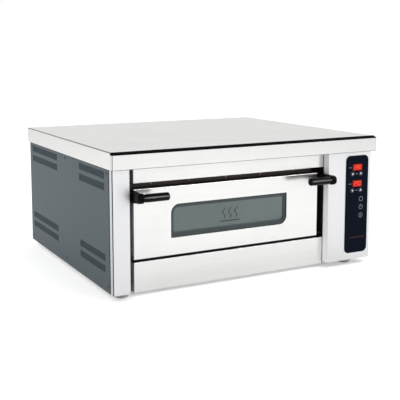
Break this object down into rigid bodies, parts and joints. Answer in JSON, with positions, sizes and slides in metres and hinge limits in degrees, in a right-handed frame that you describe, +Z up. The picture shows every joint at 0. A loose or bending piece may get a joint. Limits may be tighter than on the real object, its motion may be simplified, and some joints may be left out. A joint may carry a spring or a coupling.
{
  "type": "deck oven",
  "caption": "Single-deck electric oven with a stone hearth, a glazed drop-down door with two side handles, and a key-operated control column.",
  "frame": {"origin": "centre of the overall footprint, handles included, on the surface the feet stand on", "axes": "+X to the right as seen from the front, +Y from the door to the back, +Z up"},
  "size_m": [1, 0.9104, 0.46],
  "materials": {
    "stainless": "satin brushed stainless sheet",
    "grey_sheet": "blue-grey painted sheet, satin",
    "black_strip": "black enamel",
    "dark_steel": "heat-blackened steel",
    "chamber_steel": "aluminised steel, dull",
    "hearth_stone": "matt refractory stone",
    "element": "oxidised sheathed rod",
    "mineral_wool": "mineral wool",
    "seal": "braided glass-fibre seal",
    "bakelite": "black moulded bakelite",
    "glass": "tinted heat-resistant glass",
    "overlay": "printed polyester overlay, satin",
    "display": "emissive",
    "button": "embossed key dome",
    "foot_rubber": "grey moulded foot",
    "board": "circuit board lacquer",
    "relay": "moulded grey plastic",
    "pin_steel": "turned bright steel",
    "lamp_glass": "frosted lamp glass"
  },
  "bodies": {
    "casing": {"base_tray": "stainless", "cable_gland": "relay", "chamber_ceiling": "chamber_steel", "chamber_floor": "chamber_steel", "chamber_lamp": "lamp_glass", "chamber_wall_left": "chamber_steel", "chamber_wall_rear": "chamber_steel", "chamber_wall_right": "chamber_steel", "contactor": "relay", "control_board": "board", "control_column": "stainless", "control_overlay": "overlay", "display_lower": "display", "display_upper": "display", "electrics_divider": "chamber_steel", "foot_front_left": "foot_rubber", "foot_front_right": "foot_rubber", "foot_rear_left": "foot_rubber", "foot_rear_right": "foot_rubber", "front_edge_strip": "black_strip", "front_fascia": "stainless", "hearth_stone_front": "hearth_stone", "hearth_stone_rear": "hearth_stone", "hinge_pin_left": "pin_steel", "hinge_pin_right": "pin_steel", "insulation_jacket": "mineral_wool", "left_post": "stainless", "lower_element": "element", "lower_front_panel": "stainless", "mouth_frame": "dark_steel", "rear_panel": "grey_sheet", "side_panel_left": "grey_sheet", "side_panel_right": "grey_sheet", "slot_plate_left": "dark_steel", "slot_plate_right": "dark_steel", "steam_outlet": "stainless", "terminal_block": "relay", "thermocouple": "pin_steel", "top_cover": "stainless", "upper_element": "element", "upper_front_panel": "stainless"},
    "door": {"door_skin": "stainless", "door_liner": "chamber_steel", "window_bezel": "dark_steel", "window_glass_outer": "glass", "window_glass_inner": "glass", "door_seal": "seal", "handle_arm_left": "bakelite", "handle_arm_right": "bakelite", "handle_grip_left": "bakelite", "handle_grip_right": "bakelite", "hinge_spring_left": "pin_steel", "hinge_spring_right": "pin_steel"},
    "button_upper_down_key": {"button_upper_down": "button"},
    "button_upper_up_key": {"button_upper_up": "button"},
    "button_lower_down_key": {"button_lower_down": "button"},
    "button_lower_up_key": {"button_lower_up": "button"},
    "button_program_key": {"button_program": "button"},
    "button_lamp_key": {"button_lamp": "button"},
    "button_power_key": {"button_power": "button"}
  },
  "joints": [
    {"name": "door_hinge", "type": "hinge", "parent": "casing", "child": "door", "pos_m": [0, -0.35875, 0.124], "axis": [1, 0, 0], "range_deg": [0, 90]},
    {"name": "button_upper_down_press", "type": "slide", "parent": "casing", "child": "button_upper_down_key", "axis": [0, 1, 0], "range_m": [0, 0.0008], "stiffness_N_per_m": 1200},
    {"name": "button_upper_up_press", "type": "slide", "parent": "casing", "child": "button_upper_up_key", "axis": [0, 1, 0], "range_m": [0, 0.0008], "stiffness_N_per_m": 1200},
    {"name": "button_lower_down_press", "type": "slide", "parent": "casing", "child": "button_lower_down_key", "axis": [0, 1, 0], "range_m": [0, 0.0008], "stiffness_N_per_m": 1200},
    {"name": "button_lower_up_press", "type": "slide", "parent": "casing", "child": "button_lower_up_key", "axis": [0, 1, 0], "range_m": [0, 0.0008], "stiffness_N_per_m": 1200},
    {"name": "button_program_press", "type": "slide", "parent": "casing", "child": "button_program_key", "axis": [0, 1, 0], "range_m": [0, 0.0008], "stiffness_N_per_m": 1200},
    {"name": "button_lamp_press", "type": "slide", "parent": "casing", "child": "button_lamp_key", "axis": [0, 1, 0], "range_m": [0, 0.0008], "stiffness_N_per_m": 1200},
    {"name": "button_power_press", "type": "slide", "parent": "casing", "child": "button_power_key", "axis": [0, 1, 0], "range_m": [0, 0.0008], "stiffness_N_per_m": 1200}
  ]
}
